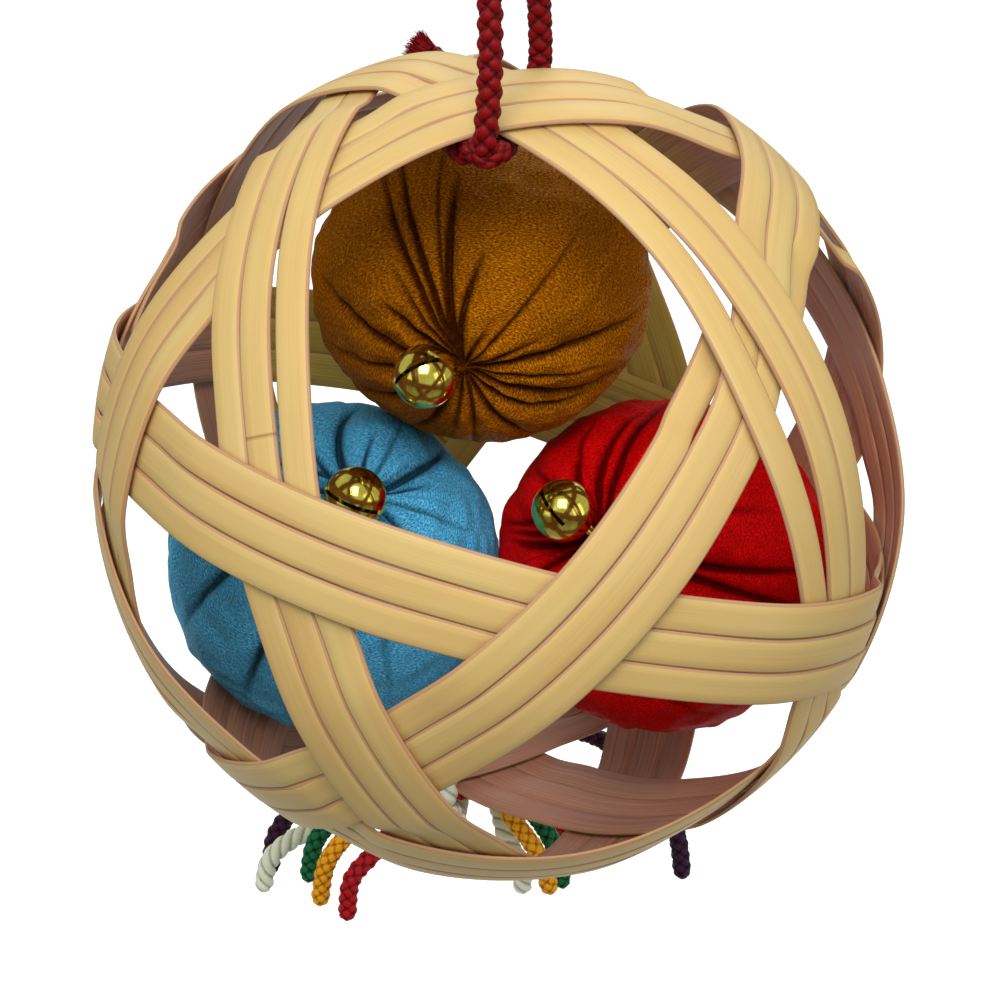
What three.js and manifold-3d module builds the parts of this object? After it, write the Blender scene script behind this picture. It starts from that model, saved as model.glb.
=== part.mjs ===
// Kusudama sachet ball: three stuffed crepe sachets, each with a small jingle bell,
// inside an open ball woven from six long bamboo splints. A braided cord passes under
// the top crossing and hangs the ball; five coloured cords are tied under the bottom one.
// Units are millimetres, +Z is up, and the origin is the top of the hanging loop.
import * as THREE from 'three';
import { mergeVertices } from 'three/addons/utils/BufferGeometryUtils.js';
import Module from 'manifold-3d';

const wasm = await Module();
wasm.setup();

// ---- driving dimensions ----
const BALL_RADIUS = 60;
const BALL_STRETCH = 1.03; // height over width of the woven ball
const LOOP_RISE = 110; // from the ball's centre up to the top of the hanging loop
const CLEARANCE = 0.3; // left between pieces that touch

const STRIP_WIDTH = 4.9;
const STRIP_THICK = 0.65;
const STRIP_PITCH = 5.2; // sideways step from one turn of a splint to the next
const TURNS = 3;
const WEAVE_LIFT = 0.75; // how far a splint rises or dips where it crosses another
const STEP_LENGTH = 18; // half the length in which a splint steps to its next turn
const TUCK_START = 3; // the ends stop this far short of the middle of the step
const TUCK_DIP = 1.3; // how far a tucked end lies under its neighbour
const TUCK_RAMP = 5;
const HOLD_MARGIN = 0.5; // extra length kept level past the edge of a crossing splint
const SECTION_STEP = 9;
const SHORTEST_RAMP = 3; // least length in which a splint changes from over to under

// Each splint's plane leans from level and is turned about the vertical (degrees); the
// splint runs shift mm to one side of the ball's middle and sways by sway mm twice a
// turn, most at swayTurn. Its two ends are tucked under the crossing at tuckTurn. A
// splay moves the outer turn on one side (edge) outwards by mm, most at its turn.
const SPLINTS = [
  { name: 'splint_a', lean: 20, turn: 36, shift: -3.5, sway: 0.5, swayTurn: -5, tuckTurn: 232 },
  { name: 'splint_b', lean: 68, turn: -22, shift: -3.5, sway: 0.5, swayTurn: 65, tuckTurn: 83,
    splay: { edge: 1, by: 0.9, turn: 138, reach: 20 } },
  { name: 'splint_c', lean: 48, turn: 177, shift: -2, sway: 3.5, swayTurn: -65, tuckTurn: 62 },
  { name: 'splint_d', lean: 94, turn: -130, shift: -3, sway: 1, swayTurn: 65, tuckTurn: 223,
    splay: { edge: 1, by: 3, turn: 27, reach: 22 } },
  { name: 'splint_e', lean: 100, turn: -68, shift: -4.5, sway: 2.5, swayTurn: 35, tuckTurn: 48 },
  { name: 'splint_f', lean: 42, turn: -80, shift: -4, sway: 1, swayTurn: 60, tuckTurn: 158 },
];

const SACHET_COLUMNS = 36;
const SACHET_ROWS = 13;
const GATHERS = 12; // creases round a sachet's gathered pole
const GATHER_DEPTH = 0.07; // of the sachet's radius
const GATHER_FALL = 0.55; // how far from the pole the creases are deepest (radians)
const GATHER_REACH = 0.5;
const DIMPLE_DEPTH = 0.1;
const DIMPLE_REACH = 0.35;
const CAGE_INSIDE = 58.5; // reach of the cloth where it rests on the splints

// Centres are measured from the ball's centre. lean and turn point each sachet's
// gathered pole; bellLean and bellTurn point from its centre to its bell, and slotTurn
// turns the bell about its loop's line (degrees). bellSink is how far the bell sits into
// the drawn-in cloth, and sag is how flat the bag has settled.
const SACHETS = [
  { name: 'gold', color: 0x8a5a1c, at: [-3, 19, 20.3], width: 51.5, height: 48, sag: 0.95,
    lean: 104, turn: -98, bellLean: 93, bellTurn: -107, bellSink: 2.6, slotTurn: 86 },
  { name: 'blue', color: 0x4d8fc0, at: [-25.6, 8, -22.4], width: 51.5, height: 49, sag: 1,
    lean: 30, turn: -61, bellLean: 39, bellTurn: -77, bellSink: 2.4, slotTurn: 7 },
  { name: 'red', color: 0xc0101a, at: [24.8, 7.2, -21.8], width: 51.5, height: 50.5, sag: 1,
    lean: 52, turn: -128, bellLean: 50, bellTurn: -134, bellSink: 1, slotTurn: -54 },
];

const BELL_RADIUS = 4.7;
const BELL_WALL = 0.5;
const BELL_SLOT = 0.9;
const BELL_HOLE = 2;
const BELL_HOLE_DROP = 1.3; // the holes lie this far below the bell's middle
const POLE_REACH = 0.46; // of a sachet's height, from its centre to its gathered pole
const SHANK_RING = 1.2; // radius of the bell's loop
const SHANK_WIRE = 0.4;

const HANG_CORD = 3.6; // diameters
const TIE_CORD = 3;
const CORD_SIDES = 8;
const HANG_KNOT = { length: 6.6, radius: 2.4 };
const TIE_KNOT = { length: 6.4, radius: 2.1 };

const rad = THREE.MathUtils.degToRad;
const group = new THREE.Group();
group.position.z = -LOOP_RISE;

function direction(lean, turn) {
  return new THREE.Vector3(
    Math.sin(rad(lean)) * Math.cos(rad(turn)),
    Math.sin(rad(lean)) * Math.sin(rad(turn)),
    Math.cos(rad(lean)),
  );
}

function smooth(value) {
  const t = THREE.MathUtils.clamp(value, 0, 1);
  return t * t * (3 - 2 * t);
}

function addPiece(name, geometry, color, roughness, metalness = 0) {
  const material = new THREE.MeshStandardMaterial({ color, roughness, metalness });
  const mesh = new THREE.Mesh(geometry, material);
  mesh.name = name;
  group.add(mesh);
  return mesh;
}

function meshFrom(points, triangles) {
  const geometry = new THREE.BufferGeometry();
  const values = points.flatMap((p) => p.toArray());
  geometry.setAttribute('position', new THREE.Float32BufferAttribute(values, 3));
  geometry.setIndex(triangles.flat());
  geometry.computeVertexNormals();
  return geometry;
}

// ---- the woven ball ----

// Adds each splint's own axes: normal, and the two directions its turn is measured in.
for (const splint of SPLINTS) {
  splint.normal = direction(splint.lean, splint.turn);
  splint.across = new THREE.Vector3(-Math.sin(rad(splint.turn)), Math.cos(rad(splint.turn)), 0);
  splint.along = new THREE.Vector3().crossVectors(splint.normal, splint.across);
}

function swayAt(splint, angle) {
  return splint.shift + splint.sway * Math.cos(2 * (angle - rad(splint.swayTurn)));
}

// How far outwards a splint's turn is splayed; lane is -1 to 1 across the band.
function splayAt(splint, angle, lane) {
  if (!splint.splay) return 0;
  const { edge, by, turn, reach } = splint.splay;
  const off = turnFrom(angle, rad(turn) - Math.PI) - Math.PI;
  return edge * by * Math.max(lane * edge, 0) * Math.exp(-((off / rad(reach)) ** 2));
}

// The unit direction at an angle round a splint, side mm off its middle line.
function splintDirection(splint, angle, side) {
  const lift = (swayAt(splint, angle) + side) / BALL_RADIUS;
  return new THREE.Vector3()
    .addScaledVector(splint.across, Math.cos(lift) * Math.cos(angle))
    .addScaledVector(splint.along, Math.cos(lift) * Math.sin(angle))
    .addScaledVector(splint.normal, Math.sin(lift));
}

function angleOn(splint, point) {
  return Math.atan2(point.dot(splint.along), point.dot(splint.across));
}

// Where the line side mm off one splint's middle crosses another splint's middle line.
// The two crossings of a pair lie on opposite sides of the ball.
function crossingPoint(splint, other, side, half) {
  const cosine = splint.normal.dot(other.normal);
  const axis = new THREE.Vector3().crossVectors(splint.normal, other.normal).normalize();
  const point = axis.clone().multiplyScalar(half);
  for (let round = 0; round < 25; round++) {
    const own = Math.sin((swayAt(splint, angleOn(splint, point)) + side) / BALL_RADIUS);
    const theirs = Math.sin(swayAt(other, angleOn(other, point)) / BALL_RADIUS);
    const a = (own - cosine * theirs) / (1 - cosine * cosine);
    const b = (theirs - cosine * own) / (1 - cosine * cosine);
    point.set(0, 0, 0).addScaledVector(splint.normal, a).addScaledVector(other.normal, b);
    point.addScaledVector(axis, half * Math.sqrt(1 - point.lengthSq()));
  }
  return point;
}

function turnFrom(angle, start) {
  return THREE.MathUtils.euclideanModulo(angle - start, 2 * Math.PI);
}

// Every splint meets the five others twice. Its crossings are put in order round it,
// and it goes over and under them in turn.
SPLINTS.forEach((splint, index) => {
  splint.crossings = [];
  SPLINTS.forEach((other, otherIndex) => {
    if (other === splint) return;
    for (const half of [1, -1]) {
      const order = index < otherIndex ? 1 : -1;
      const point = crossingPoint(splint, other, 0, half);
      const cosine = Math.abs(splint.normal.dot(other.normal));
      const sine = Math.sqrt(1 - cosine * cosine);
      const splayed = Math.abs(splayAt(other, angleOn(other, point), 1));
      const bandHalf = STRIP_PITCH + STRIP_WIDTH / 2 + splayed;
      const reach = (bandHalf + cosine * STRIP_WIDTH / 2) / sine + HOLD_MARGIN;
      const angle = turnFrom(angleOn(splint, point), 0);
      splint.crossings.push({ other, half, pair: half * order, angle, reach });
    }
  });
  splint.crossings.sort((a, b) => a.angle - b.angle);
});

function findCrossing(splint, other, pair) {
  return splint.crossings.findIndex((c) => c.other === other && c.pair === pair);
}

function alternate(splint, start, over) {
  splint.crossings.forEach((crossing, i) => {
    crossing.over = (i - start) % 2 === 0 ? over : -over;
  });
}

const firstSplint = SPLINTS[0];
alternate(firstSplint, 0, -1);
for (const splint of SPLINTS.slice(1)) {
  const met = firstSplint.crossings[findCrossing(firstSplint, splint, 1)];
  alternate(splint, findCrossing(splint, firstSplint, 1), -met.over);
}

// Where a splint is held up or down, along its whole length, in mm from its step.
function holdsAlong(splint) {
  const opposite = rad(splint.tuckTurn) - Math.PI;
  const gap = (crossing) => Math.abs(turnFrom(crossing.angle, opposite) - Math.PI);
  const tuck = splint.crossings.reduce((best, c) => (gap(c) < gap(best) ? c : best));
  splint.tuckAngle = tuck.angle;
  const circumference = 2 * Math.PI * BALL_RADIUS;
  const holds = [];
  for (let turn = 0; turn < TURNS; turn++) {
    const lane = turn - 1;
    for (const crossing of splint.crossings) {
      if (crossing === tuck) continue;
      const side = lane * STRIP_PITCH + splayAt(splint, crossing.angle, lane);
      const point = crossingPoint(splint, crossing.other, side, crossing.half);
      const angle = turnFrom(angleOn(splint, point), tuck.angle);
      const middle = angle * BALL_RADIUS + turn * circumference;
      holds.push({ middle, reach: crossing.reach, over: crossing.over });
    }
  }
  for (let turn = 0; turn <= TURNS; turn++) {
    holds.push({ middle: turn * circumference, reach: tuck.reach + STRIP_PITCH / 2, over: tuck.over });
  }
  holds.sort((a, b) => a.middle - b.middle);
  for (const hold of holds) {
    hold.from = hold.middle - hold.reach;
    hold.to = hold.middle + hold.reach;
  }
  for (let i = 1; i < holds.length; i++) {
    const slack = holds[i].from - holds[i - 1].to;
    if (slack < SHORTEST_RAMP) {
      holds[i].from += (SHORTEST_RAMP - slack) / 2;
      holds[i - 1].to -= (SHORTEST_RAMP - slack) / 2;
    }
  }
  return holds;
}

// Which side of the band a splint's turn lies on, in steps of the pitch.
function laneAt(distance) {
  const circumference = 2 * Math.PI * BALL_RADIUS;
  let lane = -1;
  for (let turn = 1; turn < TURNS; turn++) {
    lane += smooth((distance - turn * circumference + STEP_LENGTH) / (2 * STEP_LENGTH));
  }
  return lane;
}

function heightAt(holds, distance, length) {
  let height = holds[0].over;
  for (let i = 1; i < holds.length; i++) {
    const from = holds[i - 1].to;
    const to = holds[i].from;
    height += (holds[i].over - holds[i - 1].over) * smooth((distance - from) / (to - from));
  }
  const toEnd = Math.min(distance, length - distance);
  const tucked = 1 - smooth((toEnd - STEP_LENGTH) / TUCK_RAMP);
  return WEAVE_LIFT * height - TUCK_DIP * tucked;
}

function sectionPlaces(holds, length) {
  const marks = [TUCK_START, length - TUCK_START];
  for (const hold of holds) marks.push(hold.from, hold.to);
  for (const end of [STEP_LENGTH, STEP_LENGTH + TUCK_RAMP]) marks.push(end, length - end);
  const inside = marks.filter((m) => m >= TUCK_START && m <= length - TUCK_START);
  inside.sort((a, b) => a - b);
  const places = [inside[0]];
  for (const mark of inside.slice(1)) {
    const last = places[places.length - 1];
    if (mark - last < 0.5) continue;
    const count = Math.ceil((mark - last) / SECTION_STEP);
    for (let i = 1; i <= count; i++) places.push(last + ((mark - last) * i) / count);
  }
  return places;
}

// One splint: a flat strip that lies on the ball and goes round it three times.
function splintGeometry(splint) {
  const holds = holdsAlong(splint);
  const length = TURNS * 2 * Math.PI * BALL_RADIUS;
  const stretch = new THREE.Vector3(1, 1, BALL_STRETCH);
  const middleAt = (distance) => {
    const angle = splint.tuckAngle + distance / BALL_RADIUS;
    const lane = laneAt(distance);
    const out = splintDirection(splint, angle, lane * STRIP_PITCH + splayAt(splint, angle, lane));
    const radius = BALL_RADIUS + heightAt(holds, distance, length);
    const middle = out.clone().multiplyScalar(radius).multiply(stretch);
    return { middle, out: out.divide(stretch).normalize() };
  };
  const points = [];
  const triangles = [];
  for (const distance of sectionPlaces(holds, length)) {
    const { middle, out } = middleAt(distance);
    const ahead = middleAt(distance + 0.5).middle.sub(middleAt(distance - 0.5).middle);
    const wide = new THREE.Vector3().crossVectors(ahead, out).setLength(STRIP_WIDTH / 2);
    const thick = new THREE.Vector3().crossVectors(wide, ahead).setLength(STRIP_THICK / 2);
    for (const [w, t] of [[-1, -1], [1, -1], [1, 1], [-1, 1]]) {
      points.push(middle.clone().addScaledVector(wide, w).addScaledVector(thick, t));
    }
  }
  const sections = points.length / 4;
  for (let i = 0; i + 1 < sections; i++) {
    for (let side = 0; side < 4; side++) {
      const a = 4 * i + side;
      const b = 4 * i + ((side + 1) % 4);
      triangles.push([a, b + 4, b], [a, a + 4, b + 4]);
    }
  }
  const last = 4 * (sections - 1);
  triangles.push([0, 1, 2], [0, 2, 3], [last, last + 2, last + 1], [last, last + 3, last + 2]);
  return meshFrom(points, triangles);
}

for (const splint of SPLINTS) {
  addPiece(splint.name, splintGeometry(splint), 0xdcc089, 0.55);
}

// ---- the stuffed sachets ----

// Keeps a point of one sachet on its own side of the seam where two are pressed together.
function pressApart(point, sachet) {
  for (const other of SACHETS) {
    if (other === sachet) continue;
    const away = new THREE.Vector3(...other.at).sub(new THREE.Vector3(...sachet.at));
    const reach = away.length() / 2 - CLEARANCE / 2;
    away.normalize();
    const beyond = point.dot(away) - reach;
    if (beyond > 0) point.addScaledVector(away, -beyond);
  }
}

function pressInCage(point, centre) {
  const stretch = new THREE.Vector3(1, 1, BALL_STRETCH);
  const place = point.clone().add(centre).divide(stretch);
  if (place.length() > CAGE_INSIDE) place.setLength(CAGE_INSIDE);
  return place.multiply(stretch);
}

// A stuffed bag: a round, drawn in at the gathered pole, with creases that fan out of it.
function sachetGeometry(sachet) {
  const centre = new THREE.Vector3(...sachet.at);
  const pole = direction(sachet.lean, sachet.turn);
  const turned = new THREE.Quaternion().setFromUnitVectors(new THREE.Vector3(0, 0, 1), pole);
  const place = (row, column) => {
    const fall = (Math.PI * row) / SACHET_ROWS;
    const round = (2 * Math.PI * column) / SACHET_COLUMNS;
    const crease = column % (SACHET_COLUMNS / GATHERS) === 0 ? 1 : 0;
    const fan = Math.exp(-(((fall - GATHER_FALL) / GATHER_REACH) ** 2));
    const dimple = Math.exp(-((fall / DIMPLE_REACH) ** 2));
    const drawn = 1 - DIMPLE_DEPTH * dimple - GATHER_DEPTH * crease * fan;
    const point = new THREE.Vector3(
      Math.sin(fall) * Math.cos(round) * sachet.width / 2,
      Math.sin(fall) * Math.sin(round) * sachet.width / 2,
      Math.cos(fall) * sachet.height / 2,
    ).multiplyScalar(drawn).applyQuaternion(turned);
    point.z *= sachet.sag;
    pressApart(point, sachet);
    return pressInCage(point, centre);
  };
  const points = [place(0, 0), place(SACHET_ROWS, 0)];
  for (let row = 1; row < SACHET_ROWS; row++) {
    for (let column = 0; column < SACHET_COLUMNS; column++) points.push(place(row, column));
  }
  const index = (row, column) => {
    if (row === 0) return 0;
    if (row === SACHET_ROWS) return 1;
    return 2 + (row - 1) * SACHET_COLUMNS + (column % SACHET_COLUMNS);
  };
  const triangles = [];
  for (let row = 0; row < SACHET_ROWS; row++) {
    for (let column = 0; column < SACHET_COLUMNS; column++) {
      const a = index(row, column);
      const b = index(row + 1, column);
      const c = index(row + 1, column + 1);
      const d = index(row, column + 1);
      if (row > 0) triangles.push([a, b, d]);
      if (row < SACHET_ROWS - 1) triangles.push([b, c, d]);
    }
  }
  return meshFrom(points, triangles);
}

for (const sachet of SACHETS) {
  addPiece(`sachet_${sachet.name}`, sachetGeometry(sachet), sachet.color, 0.85);
}

// ---- the jingle bells ----

function solidFrom(geometry) {
  const bare = geometry.index ? geometry.toNonIndexed() : geometry.clone();
  bare.deleteAttribute('normal');
  bare.deleteAttribute('uv');
  const merged = mergeVertices(bare, 1e-4);
  return new wasm.Manifold(new wasm.Mesh({
    numProp: 3,
    vertProperties: merged.attributes.position.array,
    triVerts: new Uint32Array(merged.index.array),
  }));
}

// A round shell cut by one slot between two holes, with a wire loop on top (+Z).
function bellGeometry() {
  const shell = solidFrom(new THREE.SphereGeometry(BELL_RADIUS, 16, 10));
  const hollow = solidFrom(new THREE.SphereGeometry(BELL_RADIUS - BELL_WALL, 12, 8));
  const slot = new THREE.BoxGeometry(1.5 * BELL_RADIUS, BELL_SLOT, BELL_RADIUS);
  slot.translate(0, 0, -BELL_RADIUS * 0.75);
  const hole = new THREE.CylinderGeometry(BELL_HOLE / 2, BELL_HOLE / 2, 3 * BELL_RADIUS, 8);
  hole.rotateZ(Math.PI / 2);
  hole.translate(0, 0, -BELL_HOLE_DROP);
  const loop = new THREE.TorusGeometry(SHANK_RING, SHANK_WIRE, 6, 10);
  loop.rotateX(Math.PI / 2);
  loop.translate(0, 0, BELL_RADIUS + SHANK_RING * 0.8);
  const cut = shell.subtract(hollow).subtract(solidFrom(slot)).subtract(solidFrom(hole));
  const made = cut.add(solidFrom(loop).subtract(hollow)).getMesh();
  const geometry = new THREE.BufferGeometry();
  geometry.setAttribute('position', new THREE.BufferAttribute(made.vertProperties, 3));
  geometry.setIndex(new THREE.BufferAttribute(made.triVerts, 1));
  return geometry;
}

// A bell rests on its sachet beside the gathers, with its loop turned to the drawn-in pole.
for (const sachet of SACHETS) {
  const toBell = direction(sachet.bellLean, sachet.bellTurn);
  const reach = sachet.width / 2 + BELL_RADIUS - sachet.bellSink;
  const pole = direction(sachet.lean, sachet.turn).multiplyScalar(POLE_REACH * sachet.height);
  const bell = addPiece(`bell_${sachet.name}`, bellGeometry(), 0xc9a24b, 0.25, 1);
  bell.position.fromArray(sachet.at).addScaledVector(toBell, reach);
  const toPole = pole.sub(toBell.multiplyScalar(reach)).normalize();
  bell.quaternion.setFromUnitVectors(new THREE.Vector3(0, 0, 1), toPole);
  bell.rotateZ(rad(sachet.slotTurn));
}

// ---- cords, their points measured from the ball's centre ----

function cordGeometry(route, diameter, steps) {
  const curve = new THREE.CatmullRomCurve3(route.map((p) => new THREE.Vector3(...p)));
  const section = new THREE.Shape();
  for (let side = 0; side < CORD_SIDES; side++) {
    const turn = (2 * Math.PI * side) / CORD_SIDES;
    const place = [Math.cos(turn) * diameter / 2, Math.sin(turn) * diameter / 2];
    if (side === 0) section.moveTo(...place);
    else section.lineTo(...place);
  }
  return new THREE.ExtrudeGeometry(section, { steps, extrudePath: curve });
}

// The hanging cord: from its knot up to the loop, down behind the top crossing, and back
// under the crossing to the knot.
const HANG_ROUTE = [
  [-2.2, -16.9, 61.9], [-1.7, -16, 68], [-1.6, -13.4, 80], [-1.7, -9.6, 93], [-1.5, -7, 100.5],
  [-0.9, -4.2, 106], [0, 0, 108.2], [0.9, 4.2, 106], [1.8, 7.2, 100.5], [3.3, 8.8, 90],
  [4.9, 9.4, 76], [5.5, 9.3, 66], [5.5, 8.9, 61.5], [4.6, 5.5, 58], [3.3, 0.5, 57.8],
  [1.8, -5, 57.6], [0.6, -10, 57], [-0.4, -13.6, 56.9],
];
const HANG_TAIL_ROUTE = [
  [-5, -14, 56.6], [-6.2, -10.5, 56.5], [-7.8, -6.5, 56.7], [-9, -2, 56.8], [-9.6, 4, 56.8],
  [-9.6, 11, 55.6], [-8.2, 17.2, 54.3], [-7.2, 22.2, 56.2], [-9.4, 24.6, 58.8],
];
const HANG_COLOR = 0xa3142c;
addPiece('hang_cord', cordGeometry(HANG_ROUTE, HANG_CORD, 40), HANG_COLOR, 0.8);
addPiece('hang_tail', cordGeometry(HANG_TAIL_ROUTE, HANG_CORD, 20), HANG_COLOR, 0.8);

// A knot: two turns of cord drawn tight side by side, lying along X.
function knotGeometry({ length, radius }) {
  const half = length / 2;
  const outline = [
    [0, -half], [0.7, -half], [1, -0.55 * half], [0.85, 0], [1, 0.55 * half], [0.7, half], [0, half],
  ].map(([r, y]) => new THREE.Vector2(r * radius, y));
  return new THREE.LatheGeometry(outline, 10).rotateZ(-Math.PI / 2);
}

const hangKnot = addPiece('hang_knot', knotGeometry(HANG_KNOT), HANG_COLOR, 0.8);
hangKnot.position.set(-2.4, -17, 59);

// The five cords run side by side under the bottom crossing, bound there by a ring of
// white cord that goes round the crossing too, and hang from it on both sides.
const TIE_CORDS = [
  { name: 'cord_purple', color: 0x3a1838, route: [
    [-37.5, 12, -83], [-36.5, 12.5, -76], [-33, 14, -71.5], [-27, 16, -67], [-20, 18, -64],
    [-13, 18.4, -62.6], [-7, 18.2, -62.2], [-1, 18.8, -62.4], [6, 21, -61.8], [12, 21.5, -61.8],
    [18, 19.5, -63.5], [24, 15, -68], [28, 11, -74], [29.3, 9, -82],
  ] },
  { name: 'cord_white', color: 0xe8e2cf, route: [
    [-38.5, 7, -83], [-37, 7.5, -77], [-33, 9, -74], [-27, 11, -72.5], [-20, 14.5, -70],
    [-13, 16.2, -67.2], [-7, 16.4, -66.3], [-3.5, 17.4, -67.6], [-0.9, 16.8, -72.3],
    [0.8, 11, -75.6], [3, 8, -78.5], [3.5, 8, -84],
  ] },
  { name: 'cord_green', color: 0x1f7a3a, route: [
    [-31, 4, -79], [-29.5, 4.5, -71.5], [-26, 6.5, -68], [-20, 10.5, -65.6], [-13, 13.8, -64],
    [-7, 14.4, -63.3], [-1, 13.2, -64.3], [4, 9.8, -68.3], [8, 8, -74], [10, 8, -83],
  ] },
  { name: 'cord_red', color: 0xb0182a, route: [
    [-24.5, -5, -80], [-23.5, -4.5, -72.5], [-20.5, -2.5, -69.5], [-17, 4, -69], [-13, 10, -68],
    [-7, 12.5, -67.4], [-2, 13.2, -68], [3, 16.4, -69.4], [9, 15.5, -74.5], [13, 14, -83],
  ] },
  { name: 'cord_orange', color: 0xd98a1c, route: [
    [-29, -1, -80], [-27.5, -0.5, -72], [-24, 1, -67.5], [-19, 5, -65], [-13, 9.5, -64.2],
    [-7, 10.6, -64.1], [-2, 9, -64.8], [2, 5.6, -68.5], [5.5, 3.7, -73], [8, 3.5, -81],
  ] },
];
for (const cord of TIE_CORDS) {
  addPiece(cord.name, cordGeometry(cord.route, TIE_CORD, 18), cord.color, 0.8);
}

const RING_ROUTE = [
  [-8.3, 1, -62.3], [-8.5, 2.8, -58.6], [-8, 6.8, -56.5], [-7.1, 13.3, -55.2], [-6.4, 19, -53.7],
  [-5.8, 24, -53.6], [-5.5, 26.8, -57.2], [-5.6, 26, -62.5], [-6, 22.8, -67.3], [-6.5, 18, -70.4],
  [-7, 13, -71.2], [-7.6, 7.5, -70.8], [-8.1, 3.3, -68.2],
];
const WHITE = 0xe8e2cf;
addPiece('tie_ring', cordGeometry(RING_ROUTE, TIE_CORD, 30), WHITE, 0.8);
const tieKnot = addPiece('tie_knot', knotGeometry(TIE_KNOT), WHITE, 0.8);
tieKnot.position.set(-8.2, 1.4, -65.2);

export default group;
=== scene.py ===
# Kusudama sachet ball: three stuffed crepe sachets with jingle bells, inside an open ball
# woven from six long bamboo splints, on a braided cord, with five coloured cords tied under it.
# Metres; the origin is the top of the hanging loop and +Z is up.
import math

import bmesh
import bpy
import numpy as np
from mathutils import Matrix, Vector, bvhtree


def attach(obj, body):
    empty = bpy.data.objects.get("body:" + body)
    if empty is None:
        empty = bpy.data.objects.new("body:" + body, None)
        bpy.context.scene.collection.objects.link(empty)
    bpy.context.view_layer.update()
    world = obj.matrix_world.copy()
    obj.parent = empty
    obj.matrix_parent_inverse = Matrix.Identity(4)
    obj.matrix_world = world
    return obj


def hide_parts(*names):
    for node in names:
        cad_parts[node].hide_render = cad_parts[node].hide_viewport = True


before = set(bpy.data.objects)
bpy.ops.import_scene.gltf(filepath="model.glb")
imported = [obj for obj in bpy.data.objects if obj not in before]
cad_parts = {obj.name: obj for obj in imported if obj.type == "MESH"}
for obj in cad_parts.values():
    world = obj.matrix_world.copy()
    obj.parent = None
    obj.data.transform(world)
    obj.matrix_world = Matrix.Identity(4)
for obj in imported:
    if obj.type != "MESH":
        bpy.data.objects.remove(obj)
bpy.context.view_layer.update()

# ---- camera ----
# The eye looks down at the ball by 30 degrees from the front, a little below its middle.
ball_centre = Vector((0, 0, -0.110))
eye_distance = 0.600
eye_fall = math.radians(30)
camera_up = Vector((0, math.sin(eye_fall), math.cos(eye_fall)))
aim = ball_centre - 0.00544 * camera_up - Vector((0.00025, 0, 0))
camera = bpy.data.objects.new("camera", bpy.data.cameras.new("camera"))
bpy.context.scene.collection.objects.link(camera)
camera.location = aim + eye_distance * Vector((0, -math.cos(eye_fall), math.sin(eye_fall)))
camera.rotation_euler = (math.pi / 2 - eye_fall, 0, 0)
camera.data.angle = math.radians(14.19)
bpy.context.scene.camera = camera
bpy.context.scene.view_settings.view_transform = "Standard"


# ---- the hanging cord ----
# A soft round braid of crimson silk, 3.6 mm thick. It rises from a knot in front of the ball's
# top crossing to the loop that it hangs by, and comes down behind and under the crossing.
def along_route(points, step):
    """Points every step along the smooth line through a route, measured from the ball's centre."""
    p = np.array(points, float)
    p = np.vstack([2 * p[0] - p[1], p, 2 * p[-1] - p[-2]])
    fine = []
    for p0, p1, p2, p3 in zip(p, p[1:], p[2:], p[3:]):
        d0, d1, d2 = (np.linalg.norm(b - a) ** 0.5 for a, b in ((p0, p1), (p1, p2), (p2, p3)))
        t1 = ((p1 - p0) / d0 - (p2 - p0) / (d0 + d1) + (p2 - p1) / d1) * d1
        t2 = ((p2 - p1) / d1 - (p3 - p1) / (d1 + d2) + (p3 - p2) / d2) * d1
        t = np.linspace(0, 1, 40, endpoint=False)[:, None]
        fine.append(p1 + t1 * t + (3 * (p2 - p1) - 2 * t1 - t2) * t**2 + (2 * (p1 - p2) + t1 + t2) * t**3)
    fine = np.vstack(fine + [p[-2:-1]])
    run = np.concatenate([[0], np.cumsum(np.linalg.norm(np.diff(fine, axis=0), axis=1))])
    places = np.linspace(0, run[-1], max(2, round(run[-1] / step)) + 1)
    line = np.stack([np.interp(places, run, fine[:, k]) for k in range(3)], axis=1)
    return line + np.array(ball_centre), places


def frames_along(line):
    """A pair of directions square to the line at each of its points, turning as little as can be."""
    ahead = np.gradient(line, axis=0)
    ahead /= np.linalg.norm(ahead, axis=1)[:, None]
    side = np.cross(ahead[0], [0.3, 0.2, 1])
    sides = []
    for direction in ahead:
        side = side - direction * (side @ direction)
        side /= np.linalg.norm(side)
        sides.append(side)
    sides = np.array(sides)
    return sides, np.cross(ahead, sides)


def braid(strands, pitch):
    """How high a round braid stands at a place on it: strands of it wind each way, over and under."""
    def height(turn, run):
        a, b = strands * turn + run / pitch, strands * turn - run / pitch
        over = (np.floor(a) + np.floor(b)) % 2 == 0
        across = np.where(over, a % 1, b % 1) * 2 - 1
        lengthwise = np.where(over, b % 1, a % 1) * 2 - 1
        return np.sqrt(np.clip(1 - 0.95 * across**2, 0, 1)) * (1 - 0.38 * lengthwise**2)
    return height


def twist(strands, lay):
    """How high a twisted rope stands at a place on it, with its strands turning once in a lay."""
    def height(turn, run):
        across = (strands * (turn + run / lay)) % 1 * 2 - 1
        return np.sqrt(np.clip(1 - 0.97 * across**2, 0, 1))
    return height


def piece_from(name, points, faces, uvs=None):
    mesh = bpy.data.meshes.new(name)
    mesh.from_pydata([tuple(p) for p in points], [], [tuple(f) for f in faces])
    if uvs is not None:
        layer = mesh.uv_layers.new(name="UVMap")
        corners = np.empty(len(mesh.loops), dtype=np.int32)
        mesh.loops.foreach_get("vertex_index", corners)
        layer.data.foreach_set("uv", np.asarray(uvs, dtype=np.float32)[corners].ravel())
    mesh.polygons.foreach_set("use_smooth", [True] * len(mesh.polygons))
    piece = bpy.data.objects.new(name, mesh)
    bpy.context.scene.collection.objects.link(piece)
    return piece


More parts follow.
